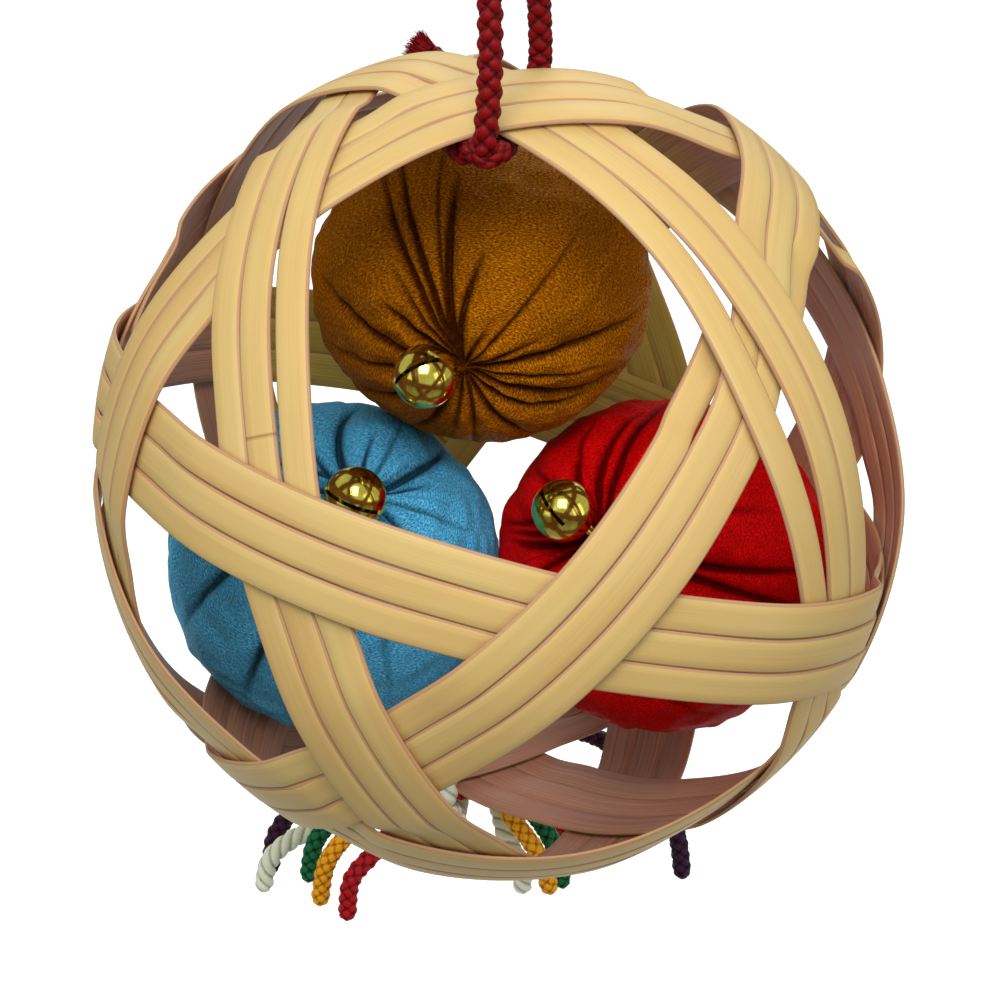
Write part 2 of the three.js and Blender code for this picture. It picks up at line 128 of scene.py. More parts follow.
def tube_faces(rings, around):
    """Quads between rings of points, and a fan on a middle point at each end (the last two points)."""
    k = np.arange(around)
    after = (k + 1) % around
    faces = []
    for ring in range(rings - 1):
        a, b = ring * around, (ring + 1) * around
        faces += list(zip(a + k, a + after, b + after, b + k))
    start, end = rings * around, rings * around + 1
    last = (rings - 1) * around
    faces += [(start, after[i], k[i]) for i in range(around)]
    faces += [(end, last + k[i], last + after[i]) for i in range(around)]
    return faces


def mark_points(piece, name, values):
    """A value at each point of a piece, for its material to read."""
    marks = piece.data.attributes.new(name, "FLOAT", "POINT")
    marks.data.foreach_set("value", np.asarray(values, dtype=np.float32))


def cord_piece(name, points, diameter, height, relief, material, step=0.00026, around=44):
    """A cord along a route, its surface raised and sunk as its braid or twist is."""
    line, run = along_route(points, step)
    sides, ups = frames_along(line)
    turn = np.arange(around) / around
    crown = height(turn[None, :], run[:, None])
    radius = diameter / 2 * (1 - relief + relief * 1.12 * crown)
    from_end = np.minimum(run, run[-1] - run) / (diameter / 2)
    radius = radius * np.sqrt(np.clip(1 - (1 - np.clip(from_end, 0, 1)) ** 2, 0.15, 1))[:, None]
    angle = 2 * np.pi * turn
    rings = (line[:, None, :] + radius[..., None] * (np.cos(angle)[None, :, None] * sides[:, None, :]
             + np.sin(angle)[None, :, None] * ups[:, None, :]))
    points_out = np.vstack([rings.reshape(-1, 3), line[:1], line[-1:]])
    uvs = np.stack(np.broadcast_arrays(run[:, None], turn[None, :]), -1)
    uvs = np.vstack([uvs.reshape(-1, 2), [[0, 0.5], [run[-1], 0.5]]])
    piece = piece_from(name, points_out, tube_faces(len(line), around), uvs)
    # The crown height, which the silk reads for painted shade in the hollows and a painted highlight on
    # the crowns.
    mark_points(piece, "crown", np.append(crown.ravel(), [0.5, 0.5]))
    piece.data.materials.append(material)
    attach(piece, "root")
    return piece, line


def nodes_of(name):
    material = bpy.data.materials.new(name)
    material.use_nodes = True
    tree = material.node_tree
    return material, tree, tree.nodes["Principled BSDF"]


def link(tree, out, into):
    tree.links.new(out, into)


def noise(tree, vector, scale, detail=3.0, rough=0.55):
    node = tree.nodes.new("ShaderNodeTexNoise")
    node.inputs["Scale"].default_value = scale
    node.inputs["Detail"].default_value = detail
    node.inputs["Roughness"].default_value = rough
    link(tree, vector, node.inputs["Vector"])
    return node.outputs["Fac"]


def stretched(tree, vector, scale):
    node = tree.nodes.new("ShaderNodeMapping")
    node.inputs["Scale"].default_value = scale
    link(tree, vector, node.inputs["Vector"])
    return node.outputs["Vector"]


def ramp(tree, value, *stops):
    node = tree.nodes.new("ShaderNodeValToRGB")
    elements = node.color_ramp.elements
    while len(elements) < len(stops):
        elements.new(0.5)
    for element, (place, color) in zip(elements, stops):
        element.position = place
        element.color = (*color, 1)
    link(tree, value, node.inputs["Fac"])
    return node.outputs["Color"]


def bump(tree, value, distance, strength=1.0):
    node = tree.nodes.new("ShaderNodeBump")
    node.inputs["Distance"].default_value = distance
    node.inputs["Strength"].default_value = strength
    link(tree, value, node.inputs["Height"])
    return node.outputs["Normal"]


def texture_place(tree, kind):
    return tree.nodes.new("ShaderNodeTexCoord").outputs[kind]


def mark_of(tree, name):
    node = tree.nodes.new("ShaderNodeAttribute")
    node.attribute_name = name
    return node.outputs["Fac"]


def silk(name, dark, light):
    """Spun floss: the hollows between the strands are darkened with painted shade, and their crowns carry
    a painted highlight.
    """
    material, tree, shader = nodes_of(name)
    place = texture_place(tree, "Object")
    mixed = tree.nodes.new("ShaderNodeMath")
    mixed.operation = "MULTIPLY_ADD"
    mixed.inputs[1].default_value = 0.45
    link(tree, noise(tree, place, 2600, 3), mixed.inputs[0])
    link(tree, mark_of(tree, "crown"), mixed.inputs[2])
    # Painted shade in the hollows between strands and a painted highlight on their crowns, read from the
    # crown mark.
    painted_hollow_shade = tuple(0.12 * c for c in dark)
    link(tree, ramp(tree, mixed.outputs["Value"], (0.25, painted_hollow_shade), (0.72, dark), (1.0, light)),
         shader.inputs["Base Color"])
    link(tree, bump(tree, noise(tree, place, 6500, 2), 0.00012, 0.6), shader.inputs["Normal"])
    shader.inputs["Roughness"].default_value = 0.42
    shader.inputs["Specular IOR Level"].default_value = 0.12
    return material


hang_thickness, hang_relief = 0.0036, 0.42
# Each silk gives its main colour, then the painted highlight colour of its strands' crowns.
crimson = silk("crimson_silk", (0.070, 0.0002, 0.0012), (0.19, 0.0004, 0.0022))
hang_braid = braid(3, 0.0027)
hang_route = [
    (-0.0024, -0.0171, 0.0584), (-0.0022, -0.0170, 0.0619), (-0.0017, -0.0160, 0.0680),
    (-0.0016, -0.0134, 0.0800),
    (-0.0017, -0.0096, 0.0930), (-0.0015, -0.0070, 0.1005), (-0.0009, -0.0042, 0.1060),
    (0, 0, 0.1082), (0.0009, 0.0042, 0.1060), (0.0018, 0.0072, 0.1005), (0.0033, 0.0088, 0.0900),
    (0.0049, 0.0094, 0.0760), (0.0055, 0.0093, 0.0660), (0.0055, 0.0089, 0.0615),
    (0.0046, 0.0055, 0.0580), (0.0033, 0.0005, 0.0578), (0.0018, -0.0050, 0.0576),
    (0.0006, -0.0100, 0.0570), (-0.0006, -0.0138, 0.0572),
]
hang_cord, hang_line = cord_piece("hanging_cord", hang_route, hang_thickness, hang_braid,
                                  hang_relief, crimson)
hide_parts("hang_cord")


# ---- the hanging cord's knot and cut end ----
# A tight half turn of finer braid lies across the cord in front of the crossing. The cord's
# short end runs back under the crossing and comes out behind it, cut off and frayed.
knot_route = [
    (-0.0054, -0.0148, 0.0592), (-0.0040, -0.0159, 0.0587), (-0.0022, -0.0170, 0.0579),
    (-0.0004, -0.0164, 0.0586), (0.0008, -0.0150, 0.0594),
]
hang_knot, _ = cord_piece("hanging_knot", knot_route, 0.0028, braid(4, 0.0022), 0.4, crimson)
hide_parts("hang_knot")

tail_route = [
    (-0.0044, -0.0145, 0.0572), (-0.0060, -0.0105, 0.0566), (-0.0076, -0.0065, 0.0567),
    (-0.0090, -0.0020, 0.0568), (-0.0096, 0.0040, 0.0568), (-0.0096, 0.0110, 0.0556),
    (-0.0082, 0.0172, 0.0543), (-0.0080, 0.0214, 0.0550), (-0.0110, 0.0236, 0.0562),
]
hang_tail, tail_line = cord_piece("hanging_cord_end", tail_route, hang_thickness, hang_braid,
                                  hang_relief, crimson)
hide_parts("hang_tail")


filament = 0.00012


def frayed_end(name, line, thickness, count, reach, material, seed):
    """Loose filaments that stand out of a cord's cut end."""
    draw = np.random.default_rng(seed)
    end = Vector(line[-1])
    ahead = (Vector(line[-1]) - Vector(line[-12])).normalized()
    side = ahead.orthogonal().normalized()
    up = ahead.cross(side)
    points, faces = [], []
    for _ in range(count):
        angle, out = draw.uniform(0, 2 * math.pi), math.sqrt(draw.uniform(0, 1))
        away = side * math.cos(angle) + up * math.sin(angle)
        root = end + away * out * thickness * 0.42 - ahead * 0.0006
        lean = (ahead + away * out * draw.uniform(0.1, 0.4)).normalized()
        bend = Vector(draw.normal(0, 0.15, 3))
        length = reach * draw.uniform(0.8, 1.0)
        base = len(points)
        for k in range(4):
            t = k / 3
            place = root + (lean + bend * t * 0.6) * length * t
            thinned = filament * (1 - 0.7 * t)
            for corner in range(3):
                turn = 2 * math.pi * corner / 3
                points.append(place + (side * math.cos(turn) + up * math.sin(turn)) * thinned)
        for k in range(3):
            for corner in range(3):
                a, b = base + 3 * k + corner, base + 3 * k + (corner + 1) % 3
                faces.append((a, b, b + 3, a + 3))
        faces += [(base + 2, base + 1, base), (base + 9, base + 10, base + 11)]
    piece = piece_from(name, points, faces)
    mark_points(piece, "crown", draw.uniform(0.5, 1.0, len(points)))
    piece.data.materials.append(material)
    return piece


tail_fray = frayed_end("frayed_filaments", tail_line, hang_thickness, 800, 0.0034, crimson, 4)
tail_fray.parent = hang_tail


# ---- the cords tied under the ball ----
# Five cords, four of them round silk braids and one a white twisted rope, lie side by side
# under the bottom crossing and hang from it on both sides. Their ends are cut.
tie_thickness = 0.0030
# Each silk gives its main colour, then the painted highlight colour of its strands' crowns.
violet = silk("violet_silk", (0.012, 0.002, 0.012), (0.055, 0.012, 0.045))
ivory = silk("ivory_silk", (0.50, 0.52, 0.36), (0.86, 0.88, 0.70))
green = silk("green_silk", (0.002, 0.045, 0.014), (0.010, 0.175, 0.062))
scarlet = silk("scarlet_silk", (0.18, 0.002, 0.005), (0.48, 0.008, 0.014))
orange = silk("orange_silk", (0.55, 0.15, 0.004), (0.90, 0.42, 0.012))
fine_braid = braid(4, 0.0019)
rope = twist(3, 0.0062)
tie_cords = {
    "purple": (violet, fine_braid, [
        (-0.0375, 0.0120, -0.0830), (-0.0365, 0.0125, -0.0760), (-0.0330, 0.0140, -0.0715),
        (-0.0270, 0.0160, -0.0670), (-0.0200, 0.0180, -0.0640), (-0.0130, 0.0184, -0.0626),
        (-0.0070, 0.0182, -0.0622), (-0.0010, 0.0188, -0.0624), (0.0060, 0.0210, -0.0618),
        (0.0120, 0.0215, -0.0618), (0.0180, 0.0195, -0.0635), (0.0240, 0.0150, -0.0680),
        (0.0280, 0.0110, -0.0740), (0.0293, 0.0090, -0.0820)]),
    "white": (ivory, rope, [
        (-0.0385, 0.0070, -0.0830), (-0.0370, 0.0075, -0.0770), (-0.0330, 0.0090, -0.0740),
        (-0.0270, 0.0110, -0.0725), (-0.0200, 0.0145, -0.0700), (-0.0130, 0.0162, -0.0672),
        (-0.0070, 0.0164, -0.0663), (-0.0035, 0.0174, -0.0676), (-0.0009, 0.0168, -0.0723),
        (0.0008, 0.0110, -0.0756), (0.0030, 0.0080, -0.0785), (0.0035, 0.0080, -0.0840)]),
    "green": (green, fine_braid, [
        (-0.0310, 0.0040, -0.0790), (-0.0295, 0.0045, -0.0715), (-0.0260, 0.0065, -0.0680),
        (-0.0200, 0.0105, -0.0656), (-0.0130, 0.0138, -0.0640), (-0.0070, 0.0144, -0.0633),
        (-0.0010, 0.0132, -0.0643), (0.0040, 0.0098, -0.0683), (0.0080, 0.0080, -0.0740),
        (0.0100, 0.0080, -0.0830)]),
    "red": (scarlet, fine_braid, [
        (-0.0245, -0.0050, -0.0800), (-0.0235, -0.0045, -0.0725), (-0.0205, -0.0025, -0.0695),
        (-0.0170, 0.0040, -0.0690), (-0.0130, 0.0100, -0.0680), (-0.0070, 0.0125, -0.0674),
        (-0.0020, 0.0132, -0.0680), (0.0030, 0.0164, -0.0694), (0.0090, 0.0155, -0.0745),
        (0.0130, 0.0140, -0.0830)]),
    "orange": (orange, fine_braid, [
        (-0.0290, -0.0010, -0.0800), (-0.0275, -0.0005, -0.0720), (-0.0240, 0.0010, -0.0675),
        (-0.0190, 0.0050, -0.0650), (-0.0130, 0.0095, -0.0642), (-0.0070, 0.0106, -0.0641),
        (-0.0020, 0.0090, -0.0648), (0.0020, 0.0056, -0.0685), (0.0055, 0.0037, -0.0730),
        (0.0080, 0.0035, -0.0810)]),
}
for color, (finish, height, route) in tie_cords.items():
    relief = 0.36 if height is rope else 0.34
    cord, line = cord_piece(f"tied_cord_{color}", route, tie_thickness, height, relief, finish)
    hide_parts(f"cord_{color}")


# ---- the white cord that binds the bundle ----
# A ring of the twisted rope goes round the bottom crossing and the five cords, and is drawn
# tight in front of them with a small knot of two turns.
def wound_knot(name, middle, axis, turns, radius, thickness, height, relief, material):
    """Turns of cord drawn tight side by side round an axis."""
    axis = Vector(axis).normalized()
    side = axis.cross(Vector((0, 0, 1))).normalized()
    up = side.cross(axis)
    count = 16 * turns
    points = []
    for i in range(count + 1):
        angle = 2 * math.pi * turns * i / count
        slide = (i / count - 0.5) * thickness * 0.95 * (turns - 0.4)
        squeeze = 1 - 0.14 * abs(2 * i / count - 1)
        points.append(Vector(middle) + axis * slide
                      + (side * math.cos(angle) + up * math.sin(angle)) * radius * squeeze)
    return cord_piece(name, points, thickness, height, relief, material, step=0.0003, around=36)[0]


ring_route = [
    (-0.0083, 0.0010, -0.0623), (-0.0085, 0.0028, -0.0586), (-0.0080, 0.0068, -0.0565),
    (-0.0071, 0.0133, -0.0552), (-0.0064, 0.0190, -0.0537), (-0.0058, 0.0240, -0.0536),
    (-0.0055, 0.0268, -0.0572), (-0.0056, 0.0260, -0.0625), (-0.0060, 0.0228, -0.0673),
    (-0.0065, 0.0180, -0.0704), (-0.0070, 0.0130, -0.0712), (-0.0076, 0.0075, -0.0708),
    (-0.0081, 0.0033, -0.0682),
]
tie_ring, ring_line = cord_piece("binding_ring", ring_route, tie_thickness, rope, 0.34, ivory)
tie_knot = wound_knot("binding_knot", (-0.0082, 0.0014, -0.0652), (1, 0.1, 0.1), 2, 0.0011,
                      0.0026, twist(3, 0.0050), 0.34, ivory)
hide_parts("tie_ring")
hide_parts("tie_knot")


# ---- the woven ball ----
# Six long bamboo splints, shaved flat with bevelled edges, each wound three times round the
# ball. They go over and under each other in turn, and their ends are tucked under a crossing.
ball_radius = 0.060
ball_stretch = np.array([1, 1, 1.03])
strip_width, strip_thickness = 0.00536, 0.0006
strip_pitch = 0.0052
turns = 3
weave_lift = 0.0006
step_length = 0.018
tuck_start, tuck_dip, tuck_ramp = 0.003, 0.0013, 0.005
hold_margin, shortest_ramp = 0.0005, 0.005
once_round = 2 * math.pi * ball_radius
splints = [
    dict(name="a", lean=20, turn=36, shift=-0.0035, sway=0.0005, sway_turn=-5, tuck_turn=232,
         joint=0.4659),
    dict(name="b", lean=68, turn=-22, shift=-0.0035, sway=0.0005, sway_turn=65, tuck_turn=83,
         joint=0.4464, splay=(0.0009, 138, 20)),
    dict(name="c", lean=48, turn=177, shift=-0.0020, sway=0.0035, sway_turn=-65, tuck_turn=62,
         joint=0.5293),
    dict(name="d", lean=94, turn=-130, shift=-0.0030, sway=0.0010, sway_turn=65, tuck_turn=223,
         joint=0.7457, splay=(0.0030, 27, 22)),
    dict(name="e", lean=100, turn=-68, shift=-0.0045, sway=0.0025, sway_turn=35, tuck_turn=48,
         joint=0.6651),
    dict(name="f", lean=42, turn=-80, shift=-0.0040, sway=0.0010, sway_turn=60, tuck_turn=158,
         joint=0.6542),
]


def pointing(lean, turn):
    lean, turn = math.radians(lean), math.radians(turn)
    return np.array([math.sin(lean) * math.cos(turn), math.sin(lean) * math.sin(turn), math.cos(lean)])


for splint in splints:
    turn = math.radians(splint["turn"])
    splint["normal"] = pointing(splint["lean"], splint["turn"])
    splint["across"] = np.array([-math.sin(turn), math.cos(turn), 0])
    splint["along"] = np.cross(splint["normal"], splint["across"])


def sway_at(splint, angle):
    return splint["shift"] + splint["sway"] * np.cos(2 * (angle - math.radians(splint["sway_turn"])))


def splay_at(splint, angle, lane):
    """How far the outer strip stands off from the others: (how far, its turn, how far round)."""
    by, turn, reach = splint.get("splay", (0, 0, 1))
    off = (angle - math.radians(turn) + math.pi) % (2 * math.pi) - math.pi
    return by * np.clip(lane, 0, None) * np.exp(-((off / math.radians(reach)) ** 2))


def splint_direction(splint, angle, side):
    """Unit directions at angles round a splint, side metres off its middle line."""
    lift = (sway_at(splint, angle) + side) / ball_radius
    return ((np.cos(lift) * np.cos(angle))[:, None] * splint["across"]
            + (np.cos(lift) * np.sin(angle))[:, None] * splint["along"]
            + np.sin(lift)[:, None] * splint["normal"])


def angle_on(splint, point):
    return math.atan2(point @ splint["along"], point @ splint["across"])


def crossing_point(splint, other, side, half):
    """Where the line side metres off one splint's middle meets another splint's middle line."""
    cosine = splint["normal"] @ other["normal"]
    axis = np.cross(splint["normal"], other["normal"])
    axis /= np.linalg.norm(axis)
    point = axis * half
    for _ in range(25):
        own = math.sin((sway_at(splint, angle_on(splint, point)) + side) / ball_radius)
        theirs = math.sin(sway_at(other, angle_on(other, point)) / ball_radius)
        a = (own - cosine * theirs) / (1 - cosine**2)
        b = (theirs - cosine * own) / (1 - cosine**2)
        point = a * splint["normal"] + b * other["normal"]
        point = point + axis * half * math.sqrt(1 - point @ point)
    return point


for index, splint in enumerate(splints):
    splint["crossings"] = []
    for other_index, other in enumerate(splints):
        if other is splint:
            continue
        cosine = abs(splint["normal"] @ other["normal"])
        for half in (1, -1):
            point = crossing_point(splint, other, 0, half)
            angle = angle_on(splint, point) % (2 * math.pi)
            band_half = strip_pitch + strip_width / 2 + splay_at(other, angle_on(other, point), 1)
            reach = (band_half + cosine * strip_width / 2) / math.sqrt(1 - cosine**2) + hold_margin
            pair = half if index < other_index else -half
            splint["crossings"].append(dict(other=other, half=half, pair=pair, angle=angle, reach=reach))
    splint["crossings"].sort(key=lambda crossing: crossing["angle"])


def find_crossing(splint, other):
    return next(i for i, c in enumerate(splint["crossings"]) if c["other"] is other and c["pair"] == 1)


def alternate(splint, start, over):
    for i, crossing in enumerate(splint["crossings"]):
        crossing["over"] = over if (i - start) % 2 == 0 else -over


alternate(splints[0], 0, -1)
for splint in splints[1:]:
    met = splints[0]["crossings"][find_crossing(splints[0], splint)]
    alternate(splint, find_crossing(splint, splints[0]), -met["over"])


def holds_along(splint):
    """Where a splint is held up or down along its whole length, measured from its step."""
    opposite = math.radians(splint["tuck_turn"]) - math.pi
    tuck = min(splint["crossings"], key=lambda c: abs((c["angle"] - opposite) % (2 * math.pi) - math.pi))
    splint["tuck_angle"] = tuck["angle"]
    holds = []
    for lap in range(turns):
        for crossing in splint["crossings"]:
            if crossing is tuck:
                continue
            side = (lap - 1) * strip_pitch + splay_at(splint, crossing["angle"], lap - 1)
            point = crossing_point(splint, crossing["other"], side, crossing["half"])
            angle = (angle_on(splint, point) - tuck["angle"]) % (2 * math.pi)
            holds.append([angle * ball_radius + lap * once_round, crossing["reach"], crossing["over"]])
    for lap in range(turns + 1):
        holds.append([lap * once_round, tuck["reach"] + strip_pitch / 2, tuck["over"]])
    holds.sort()
    spans = [[middle - reach, middle + reach, over] for middle, reach, over in holds]
    for before, after in zip(spans, spans[1:]):
        slack = after[0] - before[1]
        if slack < shortest_ramp:
            after[0] += (shortest_ramp - slack) / 2
            before[1] -= (shortest_ramp - slack) / 2
    return spans


def smooth(value):
    t = np.clip(value, 0, 1)
    return t * t * (3 - 2 * t)


def splint_line(splint, spans, run):
    """The middle of a splint at distances along it, and the way out of the ball there."""
    lane = -1 + sum(smooth((run - lap * once_round + step_length) / (2 * step_length)) for lap in (1, 2))
    height = np.full(len(run), float(spans[0][2]))
    for before, after in zip(spans, spans[1:]):
        height += (after[2] - before[2]) * smooth((run - before[1]) / (after[0] - before[1]))
    to_end = np.minimum(run, turns * once_round - run)
    height = weave_lift * height - tuck_dip * (1 - smooth((to_end - step_length) / tuck_ramp))
    angle = splint["tuck_angle"] + run / ball_radius
    out = splint_direction(splint, angle, lane * strip_pitch + splay_at(splint, angle, lane))
    middle = out * (ball_radius + height)[:, None] * ball_stretch
    out = out / ball_stretch
    return middle, out / np.linalg.norm(out, axis=1)[:, None]


def uneven(run, seed, lengths, amount):
    """A slow, smooth, made-by-hand wander along a length."""
    draw = np.random.default_rng(seed)
    waves = [np.sin(2 * np.pi * run / length + draw.uniform(0, 2 * np.pi)) for length in lengths]
    return amount * sum(waves) / len(waves)


# Half of a splint's section: (share of half the width, share of half the thickness, finish).
# Finish 0 is the shaved skin, 1 the bevelled edge and 2 the inner face.
section = [(-0.86, 1.0), (-0.35, 1.12), (0.35, 1.12), (0.86, 1.0), (0.965, 0.3), (1.0, -0.5),
           (0.96, -0.95), (0.45, -1.0), (-0.45, -1.0), (-0.96, -0.95), (-1.0, -0.5), (-0.965, 0.3)]
section_finish = [0, 0, 0, 1, 1, 1, 2, 2, 2, 1, 1, 1]


def splint_piece(splint, seed, materials, step=0.0016):
    spans = holds_along(splint)
    length = turns * once_round
    run = np.linspace(tuck_start, length - tuck_start, round((length - 2 * tuck_start) / step))
    middle, out = splint_line(splint, spans, run)
    ahead = splint_line(splint, spans, run + 0.0005)[0] - splint_line(splint, spans, run - 0.0005)[0]
    wide = np.cross(ahead, out)
    wide /= np.linalg.norm(wide, axis=1)[:, None]
    thick = np.cross(wide, ahead)
    thick /= np.linalg.norm(thick, axis=1)[:, None]
    half_width = strip_width / 2 * (1 + uneven(run, seed, (0.041, 0.067, 0.113), 0.008))
    half_thick = strip_thickness / 2 * (1 + uneven(run, seed + 1, (0.023, 0.051), 0.08))
    shares = (once_round / 9, once_round / 5)
    middle = middle + wide * uneven(run, seed + 2, shares, 0.00012)[:, None]
    points = [middle + wide * (half_width * w)[:, None] + thick * (half_thick * t)[:, None]
              for w, t in section]
    around = len(section)
    points = np.stack(points, axis=1).reshape(-1, 3) + np.array(ball_centre)
    rings = len(run)
    faces, finish = [], []
    for ring in range(rings - 1):
        for side in range(around):
            a, b = ring * around + side, ring * around + (side + 1) % around
            faces.append((a, b, b + around, a + around))
            finish.append(section_finish[side])
    faces += [tuple(range(around))[::-1], tuple(range((rings - 1) * around, rings * around))]
    finish += [1, 1]
    across = np.array([w for w, t in section]) * strip_width / 2
    uvs = np.stack([np.repeat(run, around), np.tile(across, rings)], axis=1)
    piece = piece_from("woven_splint_" + splint["name"], points, faces, uvs)
    for material in materials:
        piece.data.materials.append(material)
    piece.data.polygons.foreach_set("material_index", finish)
    mark_points(piece, "joint", [splint["joint"]] * len(points))
    piece.data.update()
    return piece


def toned(tree, color, tone):
    """A colour with a tone laid over it."""
    mix = tree.nodes.new("ShaderNodeMix")
    mix.data_type = "RGBA"
    mix.blend_type = "MULTIPLY"
    mix.inputs["Factor"].default_value = 1.0
    link(tree, color, mix.inputs["A"])
    link(tree, tone, mix.inputs["B"])
    return mix.outputs["Result"]


def span_from(tree, middle):
    """How far a place on the piece is from a middle point."""
    span = tree.nodes.new("ShaderNodeVectorMath")
    span.operation = "DISTANCE"
    span.inputs[1].default_value = middle
    link(tree, texture_place(tree, "Object"), span.inputs[0])
    return span.outputs["Value"]


def bamboo(name, dark, light, streak, gloss, grain_depth, olive=None):
    """Shaved bamboo: long fine fibres with slow changes of tone along the strip."""
    material, tree, shader = nodes_of(name)
    place = texture_place(tree, "UV")
    fibre = noise(tree, stretched(tree, place, (26, 5200, 1)), 1.0, 4, 0.6)
    tone = noise(tree, stretched(tree, place, (22, 110, 1)), 1.0, 2, 0.5)
    fibres = ramp(tree, fibre, (0.5 - streak, dark), (0.5 + streak, light))
    if olive:
        # The inner face is olive near a point at the back of the ball behind the gold sachet, and
        # red-brown further from it.
        away_from_olive = tree.nodes.new("ShaderNodeMapRange")
        away_from_olive.inputs["From Min"].default_value, away_from_olive.inputs["From Max"].default_value = olive["reach"]
        link(tree, span_from(tree, olive["middle"]), away_from_olive.inputs["Value"])
        green = ramp(tree, fibre, (0.5 - streak, olive["dark"]), (0.5 + streak, olive["light"]))
        olive_mix = tree.nodes.new("ShaderNodeMix")
        olive_mix.data_type = "RGBA"
        link(tree, away_from_olive.outputs["Result"], olive_mix.inputs["Factor"])
        link(tree, green, olive_mix.inputs["A"])
        link(tree, fibres, olive_mix.inputs["B"])
        fibres = olive_mix.outputs["Result"]
    tones = ramp(tree, tone, (0.35, (0.96, 0.86, 0.80)), (0.65, (1, 1, 1)))
    # The cane has one joint in a splint's length, which shows as a thin brown line across it.
    split = tree.nodes.new("ShaderNodeSeparateXYZ")
    link(tree, place, split.inputs["Vector"])
    off = tree.nodes.new("ShaderNodeMath")
    off.operation = "SUBTRACT"
    link(tree, split.outputs["X"], off.inputs[0])
    link(tree, mark_of(tree, "joint"), off.inputs[1])
    near = tree.nodes.new("ShaderNodeMath")
    near.operation = "MULTIPLY_ADD"
    near.inputs[1].default_value = 1 / joint_window
    near.inputs[2].default_value = 0.5
    link(tree, off.outputs["Value"], near.inputs[0])
    line = ramp(tree, near.outputs["Value"], (0.38, (1, 1, 1)), (0.47, (0.55, 0.42, 0.33)),
                (0.53, (0.80, 0.70, 0.62)), (0.62, (1, 1, 1)))
    link(tree, toned(tree, toned(tree, fibres, tones), line), shader.inputs["Base Color"])
    link(tree, bump(tree, fibre, grain_depth, 0.8), shader.inputs["Normal"])
    shader.inputs["Roughness"].default_value = gloss
    return material


joint_window = 1 / 300
skin = bamboo("bamboo_skin", (0.53, 0.365, 0.122), (0.67, 0.475, 0.180), 0.42, 0.55, 0.00003)
edge = bamboo("bamboo_edge", (0.34, 0.18, 0.085), (0.53, 0.315, 0.155), 0.35, 0.6, 0.00003)
olive = dict(middle=(0, 0.058, -0.112), reach=(0.037, 0.050), dark=(0.30, 0.20, 0.032),
             light=(0.66, 0.53, 0.10))
pith = bamboo("bamboo_pith", (0.30, 0.12, 0.075), (0.66, 0.34, 0.21), 0.24, 0.55, 0.00008, olive)
for number, splint in enumerate(splints):
    piece = splint_piece(splint, 10 * number, (skin, edge, pith))
    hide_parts("splint_" + splint["name"])
    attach(piece, "root")


# ---- the stuffed sachets ----
# Each is a bag of silk crepe drawn up round its stuffing and gathered at one pole, so that
# folds fan out of the gathers and the stuffing pushes the cloth out between them. The three
# lie against each other and on the splints.
cage_inside = 0.0585
sachets = {
    "gold": dict(at=(-0.0030, 0.0190, 0.0203), width=0.0515, height=0.0480, sag=0.95, lean=104, turn=-98),
    "blue": dict(at=(-0.0256, 0.0080, -0.0224), width=0.0515, height=0.0490, sag=1, lean=30, turn=-61),
    "red": dict(at=(0.0248, 0.0072, -0.0218), width=0.0515, height=0.0505, sag=1, lean=52, turn=-128),
}
# Folds fan out from the gathers: (turn round the pole in degrees, turn at the far end, reach from
# the pole in radians, depth in mm, width in mm).
folds = {
    "gold": [(94, 110, 1.80, 1.7, 0.55), (100, 117, 1.75, 1.5, 0.55), (93, 87, 1.45, 2.0, 0.70),
             (92, 94, 1.85, 0.9, 0.45), (90, 72, 0.95, 1.6, 0.60), (50, 40, 1.40, 0.8, 0.40),
             (16, -4, 1.35, 1.4, 0.60), (-6, -16, 1.00, 1.0, 0.55), (-28, -33, 1.50, 1.6, 0.80),
             (-58, -33, 1.00, 1.4, 0.60), (-74, -69, 0.85, 1.4, 0.60), (-84, -97, 0.80, 1.0, 0.50),
             (118, 129, 0.74, 1.7, 0.60), (149, 155, 1.30, 1.3, 0.75), (171, 180, 1.00, 1.1, 0.70),
             (108, 116, 0.95, 1.0, 0.45), (-120, -125, 1.00, 1.1, 0.70), (-150, -158, 1.10, 1.1, 0.70),
             (-102, -108, 0.70, 0.9, 0.50), (30, 22, 0.60, 1.0, 0.50), (66, 58, 0.50, 1.0, 0.50)],
    "blue": [(142, 92, 0.88, 1.7, 0.70), (182, 140, 0.50, 1.3, 0.60), (104, 84, 0.50, 1.0, 0.40),
             (28, 52, 1.05, 1.5, 0.75), (12, 24, 0.50, 1.1, 0.50), (-18, -3, 0.80, 0.7, 0.60),
             (-146, -149, 1.80, 1.5, 0.90), (-120, -116, 1.95, 1.5, 0.80), (-84, -66, 1.60, 0.6, 0.70),
             (66, 72, 0.80, 0.6, 0.50), (-45, -40, 1.00, 0.8, 0.60), (-100, -98, 0.90, 0.8, 0.60),
             (-170, -176, 1.10, 1.1, 0.70), (160, 168, 1.00, 1.0, 0.70)],
    "red": [(149, 152, 0.95, 1.5, 0.70), (164, 156, 0.85, 1.4, 0.60), (182, 160, 0.80, 1.6, 0.70),
            (113, 88, 0.90, 1.3, 0.70), (84, 70, 1.10, 1.5, 0.75), (60, 69, 1.55, 1.5, 0.75),
            (-44, -21, 1.60, 1.5, 0.70), (-46, -34, 1.70, 1.4, 0.70), (-112, -84, 1.60, 0.9, 0.80),
            (120, 124, 0.90, 1.0, 0.60), (20, 16, 1.10, 1.0, 0.70), (-8, -4, 1.20, 1.0, 0.70),
            (-75, -80, 1.20, 1.1, 0.70), (-140, -145, 1.10, 1.0, 0.70), (-165, -170, 0.90, 1.0, 0.60),
            (40, 36, 0.70, 1.0, 0.50)],
}
draw_in, draw_reach = 0.10, 0.35


def pole_turn(lean, turn):
    """The turn that takes +Z to a pole, as a 3 x 3 array."""
    return np.array(Vector((0, 0, 1)).rotation_difference(Vector(pointing(lean, turn))).to_matrix())


